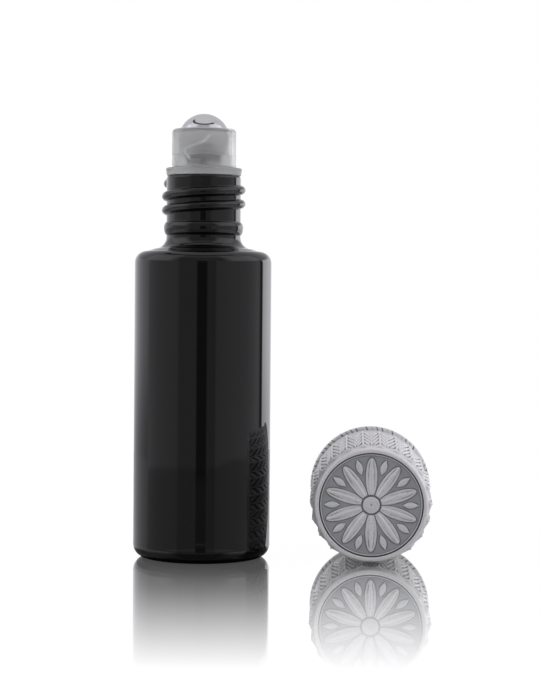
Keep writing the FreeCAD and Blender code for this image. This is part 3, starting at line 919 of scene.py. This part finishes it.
def antique_group():
    """Antiquing: a colour from bright ridges over the metal's own tone to dark hollows, uneven with age."""
    if "antiquing" in bpy.data.node_groups:
        return bpy.data.node_groups["antiquing"]
    group, start, end = new_group("antiquing",
                                  {"Hollow": NUMBER, "Polish": COLOUR, "Metal": COLOUR, "Patina": COLOUR},
                                  {"Color": COLOUR, "Roughness": NUMBER, "Height": NUMBER})
    stain = noise(group, scale=900.0, detail=4.0)
    speck = noise(group, scale=4200.0, detail=2.0)
    uneven = mathed(group, "MULTIPLY", mathed(group, "SUBTRACT", stain, 0.5), STAIN_SHIFT)
    worn = mathed(group, "ADD", start["Hollow"], uneven)
    soil = ranged(group, worn, *SOILED)
    colour = mixed(group, ranged(group, worn, *RUBBED), start["Polish"], start["Metal"])
    colour = mixed(group, soil, colour, start["Patina"])
    pitted = mathed(group, "MULTIPLY", ranged(group, speck, *PITTED), PIT_DARKNESS)
    colour = mixed(group, pitted, colour, start["Patina"])
    rough = ranged(group, soil, 0.0, 1.0, *ANTIQUE_ROUGHNESS)
    rough = mathed(group, "ADD", rough, mathed(group, "MULTIPLY", speck, SPECK_ROUGHNESS))
    feed(group, end, {"Color": colour, "Roughness": rough, "Height": speck})
    return group


def new_material(name, **sockets):
    """A material with one Principled shader whose plain values are set on its own sockets."""
    material = bpy.data.materials.new(name)
    material.use_nodes = True
    shader = material.node_tree.nodes["Principled BSDF"]
    for label, value in sockets.items():
        shader.inputs[label.replace("_", " ")].default_value = value
    return material, material.node_tree, shader


def bump(tree, shader, height, distance):
    """A bump of a height in metres on a shader's normal."""
    node = add_node(tree, "ShaderNodeBump", {"Distance": distance, "Strength": 1.0, "Height": height})
    feed(tree, shader, {"Normal": node.outputs["Normal"]})


def grained(tree, shader, scale, smoothest, roughest, distance):
    """Grain on a shader's roughness and normal."""
    inputs = {"Scale": scale, "Smoothest": smoothest, "Roughest": roughest}
    grain = add_node(tree, "ShaderNodeGroup", inputs, node_tree=grain_group()).outputs
    feed(tree, shader, {"Roughness": grain["Roughness"]})
    bump(tree, shader, grain["Height"], distance)
    return grain["Roughness"]


def clouds(tree, colour, scale, amount):
    """A colour that is a little darker in clouds."""
    darker = [part * (1 - amount) for part in colour[:3]] + [1.0]
    return mixed(tree, noise(tree, scale), darker, list(colour))


def glass_material(finishes):
    """Black opaque glass: deep, glossy, with the faint waves of a moulded surface."""
    material, tree, shader = new_material("black_glass", IOR=1.52)
    feed(tree, shader, {"Base Color": clouds(tree, finishes.glass, scale=150.0, amount=0.3)})
    grained(tree, shader, scale=90.0, smoothest=0.01, roughest=0.04, distance=0.00001)
    return material


def plastic_material(finishes):
    """Natural frosted plastic: light passes through it, blurred and greyed.

    Its inside and the weld line down its front are paler, and its flange and plug are rougher. On the weld
    line the paler colour is a painted highlight along its ridge.
    """
    frosted_roughness = 0.3
    material, tree, shader = new_material("frosted_plastic", IOR=1.49, Transmission_Weight=0.78)
    grain = grained(tree, shader, scale=700.0, smoothest=0.18, roughest=0.22, distance=0.0000002)
    rough = mathed(tree, "MULTIPLY_ADD", attribute(tree, "frost"), frosted_roughness, grain)
    cloud = clouds(tree, finishes.plastic, scale=250.0, amount=0.04)
    # Paler where clear; along the weld line this is a painted highlight.
    pale = mixed(tree, attribute(tree, "clear"), cloud, WHITE)
    feed(tree, shader, {"Roughness": rough, "Base Color": pale})
    return material


def steel_material(finishes):
    """Polished steel with faint wear."""
    material, tree, shader = new_material("polished_steel", Metallic=1.0)
    feed(tree, shader, {"Base Color": clouds(tree, finishes.steel, scale=500.0, amount=0.08)})
    grained(tree, shader, scale=1500.0, smoothest=0.02, roughest=0.07, distance=0.0000004)
    return material


def antiqued_material(name, finishes, ground=None):
    """Antiqued metal: bright ridges and dark hollows from the piece's own relief.

    With a colour for the ground, the metal's own tone goes from that to the relief's as the piece rises.
    """
    ground_top, relief_bottom = 0.05, 0.5
    material, tree, shader = new_material(name, Metallic=0.4)
    polish, metal = finishes.polish, finishes.silver
    if ground is not None:
        risen = ranged(tree, attribute(tree, "raised"), ground_top, relief_bottom)
        polish = metal = mixed(tree, risen, ground, finishes.badge_relief)
    hollow = attribute(tree, "hollow")
    inputs = {"Hollow": hollow, "Polish": polish, "Metal": metal, "Patina": finishes.patina}
    antique = add_node(tree, "ShaderNodeGroup", inputs, node_tree=antique_group()).outputs
    feed(tree, shader, {"Base Color": antique["Color"], "Roughness": antique["Roughness"]})
    bump(tree, shader, antique["Height"], distance=0.000006)
    return material


def liner_material(finishes):
    """White moulded plastic."""
    material, tree, shader = new_material("white_plastic", IOR=1.49)
    feed(tree, shader, {"Base Color": clouds(tree, finishes.liner, scale=600.0, amount=0.05)})
    grained(tree, shader, scale=1200.0, smoothest=0.32, roughest=0.48, distance=0.000005)
    return material


def seal_material(finishes):
    """Soft closed foam."""
    material, tree, shader = new_material("soft_seal", IOR=1.45)
    feed(tree, shader, {"Base Color": clouds(tree, finishes.seal, scale=2500.0, amount=0.15)})
    grained(tree, shader, scale=3000.0, smoothest=0.7, roughest=0.9, distance=0.00004)
    return material


# Stage

# Greatest brightness of the studio and the tint of its light.
BRIGHTEST = 2.8
LIGHT_TINT = (0.99, 0.985, 1.03)
# Brightness of the studio by bearing in degrees, 0 in front and positive to the right. The gap is in front.
GAP = 0.07
FRONT_RING = ((-98, 0.62), (-78, 0.52), (-42, 0.46), (-37, 0.31), (-9, 0.31), (-7, GAP), (8, GAP),
              (10, 0.27), (22, 0.25), (25, 0.41), (48, 0.48), (80, 0.55), (105, 0.68), (111, 0.6), (116, 0.1),
              (120.5, 0.1))
OPEN_RING = tuple(stop for stop in FRONT_RING if stop[1] != GAP)
LEFT_BACK = ((-180, 1.0), (-150, 1.1), (-104, 0.92))
RIGHT_BACK = ((123.5, 2.7), (140, 2.1), (155, 1.3), (180, 1.0))
LOW_RING = ((-180, 0.9), (-150, 0.65), (-104, 0.48), *FRONT_RING,
            (123.5, 2.0), (140, 1.6), (155, 1.1), (180, 0.9))
LEVEL_RING = (*LEFT_BACK, *FRONT_RING, *RIGHT_BACK)
NECK_RING = (*LEFT_BACK, *OPEN_RING, *RIGHT_BACK)
HIGH_RING = ((-180, 0.7), (-122, 0.7), (-105, 1.2), (-62, 1.2), (-40, 0.3), (36, 0.3), (58, 1.2), (105, 1.3),
             (122, 0.7), (180, 0.7))
TOP_RING = ((-180, 0.7), (-110, 0.7), (-100, 0.95), (-56, 0.95), (-40, 0.5), (34, 0.5), (50, 0.95),
            (100, 0.95), (110, 0.7), (180, 0.7))
FRAME_RING = ((-180, 0.7), (-140, 0.7), (-126, 0.08), (92, 0.08), (104, 0.7), (180, 0.7))
# The rings above the lowest, each with the heights, on a sphere of radius 1, between which it takes over.
RINGS = ((LEVEL_RING, -0.09, -0.02), (NECK_RING, 0.043, 0.053), (LEVEL_RING, 0.058, 0.066),
         (HIGH_RING, 0.17, 0.3), (TOP_RING, 0.66, 0.76))
# Where the panel overhead lies, back and up, and the cosines from there at which its frame and it take over.
PANEL_BACK, PANEL_UP = 0.148, 0.989
FRAME_EDGE = (0.838, 0.848)
PANEL_EDGE = (0.893, 0.903)

# The floor's own tone, its glow where it is seen, and the light it gives to the object from far away.
FLOOR_TONE = (0.4, 0.4, 0.4, 1)
FLOOR_GLOW = 0.8
FAR_LIGHT = 0.3
# Distance of the wholly white floor as a multiple of where the white starts, and corners of its round edge.
FLOOR_WHITE_END = 1.5
FLOOR_SIDES = 180
# The floor's mirror in what the object reflects: its roughness, its brightness at the foot, dark as painted
# shade, and beyond, and the distances from the axis between which that changes.
IMAGE_ROUGHNESS = 0.03
FOOT_BRIGHTNESS = (0.15, 0.72)
FOOT_REACH = (11.5 * MM, 16 * MM)
# Shares of the floor's size between which that mirror gets clear, and the places, from the axis to the back,
# between which this ends.
CLEAR_SHARES = (0.5, 0.85)
CLEAR_END = (20 * MM, 32 * MM)


def floor_material(stage):
    """Pale glossy floor: white, with the object's shadow, and a mirror image that fades away from the object.

    The fade is measured from a box round the object's foot. Far away the floor is as white as the backdrop.
    In what the object reflects the mirror reaches everywhere, dark at the foot as painted shade, and clear at
    the front edge.
    """
    material = bpy.data.materials.new("stage_floor")
    material.use_nodes = True
    tree = material.node_tree
    tree.nodes.clear()
    low, high = CAD_BOX
    middle = [(low[axis] + high[axis]) / 2 for axis in (0, 1)] + [0.0]
    half = [(high[axis] - low[axis]) / 2 for axis in (0, 1)] + [1.0]
    place = add_node(tree, "ShaderNodeTexCoord").outputs["Object"]
    back = add_node(tree, "ShaderNodeSeparateXYZ", {0: place}).outputs["Y"]
    from_middle = vectored(tree, "ABSOLUTE", vectored(tree, "SUBTRACT", place, middle))
    beyond = vectored(tree, "MAXIMUM", vectored(tree, "SUBTRACT", from_middle, half), (0, 0, 0))
    away = vectored(tree, "LENGTH", beyond)
    rays = add_node(tree, "ShaderNodeLightPath").outputs
    glossy = rays["Is Glossy Ray"]
    not_glossy = mathed(tree, "SUBTRACT", 1.0, glossy)
    seen = mathed(tree, "MAXIMUM", rays["Is Camera Ray"], rays["Is Transmission Ray"])

    share = mathed(tree, "MINIMUM", mathed(tree, "DIVIDE", away, stage.floor_reach), 1.0)
    remains = mathed(tree, "SUBTRACT", 1.0, mathed(tree, "POWER", share, stage.floor_fade))
    clear = ranged(tree, away, *(part * stage.floor_size for part in CLEAR_SHARES))
    clear = mathed(tree, "MULTIPLY", clear, ranged(tree, back, *CLEAR_END, 1.0, 0.0))
    least = mathed(tree, "MULTIPLY", glossy, ranged(tree, clear, 0.0, 1.0, stage.floor_gloss, 1.0))
    shine = mathed(tree, "MAXIMUM", mathed(tree, "MULTIPLY", remains, stage.floor_shine), least)
    # Painted shade: in what the object reflects, the floor's mirror is darker next to the foot.
    near_foot = ranged(tree, vectored(tree, "LENGTH", place), *FOOT_REACH, *FOOT_BRIGHTNESS)
    bright = mathed(tree, "MAXIMUM", mathed(tree, "MAXIMUM", near_foot, clear), not_glossy)
    rough = mathed(tree, "MULTIPLY", glossy, IMAGE_ROUGHNESS)
    mirror = add_node(tree, "ShaderNodeBsdfGlossy", {"Color": bright, "Roughness": rough})

    pale = add_node(tree, "ShaderNodeBsdfDiffuse", {"Color": FLOOR_TONE})
    glow = mathed(tree, "MULTIPLY", seen, FLOOR_GLOW)
    glow = add_node(tree, "ShaderNodeEmission", {"Color": WHITE, "Strength": glow})
    near = add_node(tree, "ShaderNodeAddShader", {0: pale.outputs[0], 1: glow.outputs[0]})
    near = mixed_shader(tree, shine, near.outputs[0], mirror.outputs[0])
    strength = ranged(tree, seen, 0.0, 1.0, FAR_LIGHT, 1.0)
    far = add_node(tree, "ShaderNodeEmission", {"Color": WHITE, "Strength": strength})
    white = ranged(tree, away, stage.floor_white, FLOOR_WHITE_END * stage.floor_white)
    white = mathed(tree, "MULTIPLY", white, not_glossy)
    add_node(tree, "ShaderNodeOutputMaterial", {"Surface": mixed_shader(tree, white, near, far.outputs[0])})
    return material


def light_colour(level):
    """Colour of a brightness in the studio, as a share of the greatest."""
    return (*(level / BRIGHTEST * part for part in LIGHT_TINT), 1.0)


def light_ring(tree, bearing, stops):
    """Brightness round the object: even slopes between stops of bearing in degrees, 0 in front, and level."""
    ramp = add_node(tree, "ShaderNodeValToRGB", {0: bearing})
    elements = ramp.color_ramp.elements
    for _ in stops[2:]:
        elements.new(0.5)
    for element, stop in zip(elements, stops):
        element.position = stop[0] / 360 + 0.5
    for element, stop in zip(elements, stops):
        element.color = light_colour(stop[1])
    return ramp.outputs["Color"]


def studio_world(stage):
    """White backdrop for what is seen straight, in the floor or through plastic, and a tent of soft light.

    Round the object the tent has six rings of light, from under the horizon upwards, and a panel overhead
    that leans to the back and has a frame that is dark in front. Lamps brighter than white show through
    plastic.
    """
    world = bpy.data.worlds.new("studio")
    bpy.context.scene.world = world
    world.use_nodes = True
    tree = world.node_tree
    tree.nodes.clear()
    direction = add_node(tree, "ShaderNodeTexCoord").outputs["Generated"]
    right, back, up = add_node(tree, "ShaderNodeSeparateXYZ", {0: direction}).outputs
    bearing = mathed(tree, "ARCTAN2", right, mathed(tree, "MULTIPLY", back, -1.0))
    bearing = mathed(tree, "ADD", mathed(tree, "DIVIDE", bearing, 2 * np.pi), 0.5)
    light = light_ring(tree, bearing, LOW_RING)
    for ring, start, end in RINGS:
        light = mixed(tree, ranged(tree, up, start, end), light, light_ring(tree, bearing, ring))
    to_panel = mathed(tree, "MULTIPLY_ADD", back, PANEL_BACK, mathed(tree, "MULTIPLY", up, PANEL_UP))
    frame_light = light_ring(tree, bearing, FRAME_RING)
    light = mixed(tree, ranged(tree, to_panel, *FRAME_EDGE), light, frame_light)
    light = mixed(tree, ranged(tree, to_panel, *PANEL_EDGE), light, light_colour(stage.top_level))
    rays = add_node(tree, "ShaderNodeLightPath").outputs
    over_white = mathed(tree, "MAXIMUM", mathed(tree, "MULTIPLY_ADD", light, BRIGHTEST, -1.0), 0.0)
    through = mathed(tree, "MULTIPLY_ADD", rays["Is Transmission Ray"], over_white, 1.0)
    seen = mathed(tree, "MAXIMUM", rays["Is Camera Ray"], rays["Is Transmission Ray"])
    seen = mathed(tree, "MAXIMUM", seen, rays["Is Singular Ray"])
    studio = add_node(tree, "ShaderNodeBackground", {"Color": light, "Strength": BRIGHTEST})
    backdrop = add_node(tree, "ShaderNodeBackground", {"Color": WHITE, "Strength": through})
    surface = mixed_shader(tree, seen, studio.outputs[0], backdrop.outputs[0])
    add_node(tree, "ShaderNodeOutputWorld", {"Surface": surface})


# Operators

class ROLLON_OT_glass_bottle(bpy.types.Operator):
    """Build the black glass bottle"""
    bl_idname = "roll_on.glass_bottle"
    bl_label = "Glass bottle"

    def execute(self, context):
        settings = context.scene.roll_on
        show("glass_bottle_visual", glass_mesh(settings.glass), "bottle", "glass_bottle",
             glass_material(settings.finishes))
        return {"FINISHED"}


class ROLLON_OT_roller_housing(bpy.types.Operator):
    """Build the frosted roller housing"""
    bl_idname = "roll_on.roller_housing"
    bl_label = "Roller housing"

    def execute(self, context):
        settings = context.scene.roll_on
        show("roller_housing_visual", housing_mesh(settings.housing, settings.ball, settings.glass),
             "fitment", "roller_housing", plastic_material(settings.finishes))
        return {"FINISHED"}


class ROLLON_OT_roller_ball(bpy.types.Operator):
    """Build the polished steel ball"""
    bl_idname = "roll_on.roller_ball"
    bl_label = "Roller ball"

    def execute(self, context):
        settings = context.scene.roll_on
        show("roller_ball_visual", ball_mesh(settings.ball), "ball", "roller_ball",
             steel_material(settings.finishes))
        return {"FINISHED"}


class ROLLON_OT_cap_shell(bpy.types.Operator):
    """Build the cap's ornamented metal shell"""
    bl_idname = "roll_on.cap_shell"
    bl_label = "Cap shell"

    def execute(self, context):
        settings = context.scene.roll_on
        show("cap_shell_visual", shell_mesh(settings.shell), "cap", "cap_shell",
             antiqued_material("antiqued_metal", settings.finishes))
        return {"FINISHED"}


class ROLLON_OT_cap_badge(bpy.types.Operator):
    """Build the badge with its rosette in the cap's top"""
    bl_idname = "roll_on.cap_badge"
    bl_label = "Cap badge"

    def execute(self, context):
        settings = context.scene.roll_on
        show("cap_badge_visual", badge_mesh(settings.badge), "cap", "cap_badge",
             antiqued_material("antiqued_badge", settings.finishes, settings.finishes.badge_ground))
        return {"FINISHED"}


class ROLLON_OT_cap_lining(bpy.types.Operator):
    """Finish the threaded liner and the sealing disc inside the cap"""
    bl_idname = "roll_on.cap_lining"
    bl_label = "Cap lining"

    def execute(self, context):
        finishes = context.scene.roll_on.finishes
        redress("cap_liner", liner_material(finishes))
        redress("cap_seal", seal_material(finishes))
        return {"FINISHED"}


class ROLLON_OT_stage(bpy.types.Operator):
    """Set up the floor, the soft light and the camera"""
    bl_idname = "roll_on.stage"
    bl_label = "Stage"

    def execute(self, context):
        stage = context.scene.roll_on.stage
        mesh = bpy.data.meshes.new("stage_floor")
        middle = (np.array(CAD_BOX[0]) + np.array(CAD_BOX[1])) / 2 * (1, 1, 0)
        angle = angles(FLOOR_SIDES)
        edge = middle + np.stack([np.cos(angle), np.sin(angle), 0 * angle], axis=-1) * stage.floor_size
        mesh.from_pydata(edge, [], [range(len(edge))])
        mesh.materials.append(floor_material(stage))
        floor = bpy.data.objects.new("stage_floor", mesh)
        context.scene.collection.objects.link(floor)
        studio_world(stage)
        camera = bpy.data.cameras.new("camera")
        camera.lens = stage.camera_lens
        camera.clip_start = 10 * MM
        item = bpy.data.objects.new("camera", camera)
        context.scene.collection.objects.link(item)
        item.location = (stage.camera_x, stage.camera_y, stage.camera_z)
        item.rotation_euler = (np.pi / 2 + stage.camera_pitch, -stage.camera_roll, 0)
        context.scene.camera = item
        context.scene.view_settings.view_transform = "Standard"
        return {"FINISHED"}


class ROLLON_PT_panel(bpy.types.Panel):
    """Lists the steps that build the roll on bottle"""
    bl_idname = "ROLLON_PT_panel"
    bl_label = "Roll on bottle"
    bl_space_type = "VIEW_3D"
    bl_region_type = "UI"
    bl_category = "Roll on"

    def draw(self, context):
        for step in STEPS:
            self.layout.operator(step.bl_idname)
        for group in ("glass", "housing", "ball", "shell", "badge", "finishes", "stage"):
            box = self.layout.box()
            box.label(text=group.capitalize())
            values = getattr(context.scene.roll_on, group)
            for name in values.__annotations__:
                box.prop(values, name)


GROUPS = (GlassSizes, HousingSizes, BallSizes, ShellSizes, BadgeSizes, Finishes, StageSettings,
          RollOnSettings)
STEPS = (ROLLON_OT_glass_bottle, ROLLON_OT_roller_housing, ROLLON_OT_roller_ball, ROLLON_OT_cap_shell,
         ROLLON_OT_cap_badge, ROLLON_OT_cap_lining, ROLLON_OT_stage)


def register():
    """Register the settings, the operators and the panel."""
    for item in (*GROUPS, *STEPS, ROLLON_PT_panel):
        bpy.utils.register_class(item)
    bpy.types.Scene.roll_on = bpy.props.PointerProperty(type=RollOnSettings)


def unregister():
    """Remove what register added."""
    del bpy.types.Scene.roll_on
    for item in reversed((*GROUPS, *STEPS, ROLLON_PT_panel)):
        bpy.utils.unregister_class(item)


def main():
    """Register the settings and build every piece in order."""
    register()
    bpy.ops.roll_on.glass_bottle()
    bpy.ops.roll_on.roller_housing()
    bpy.ops.roll_on.roller_ball()
    bpy.ops.roll_on.cap_shell()
    bpy.ops.roll_on.cap_badge()
    bpy.ops.roll_on.cap_lining()
    bpy.ops.roll_on.stage()


if __name__ == "__main__":
    main()
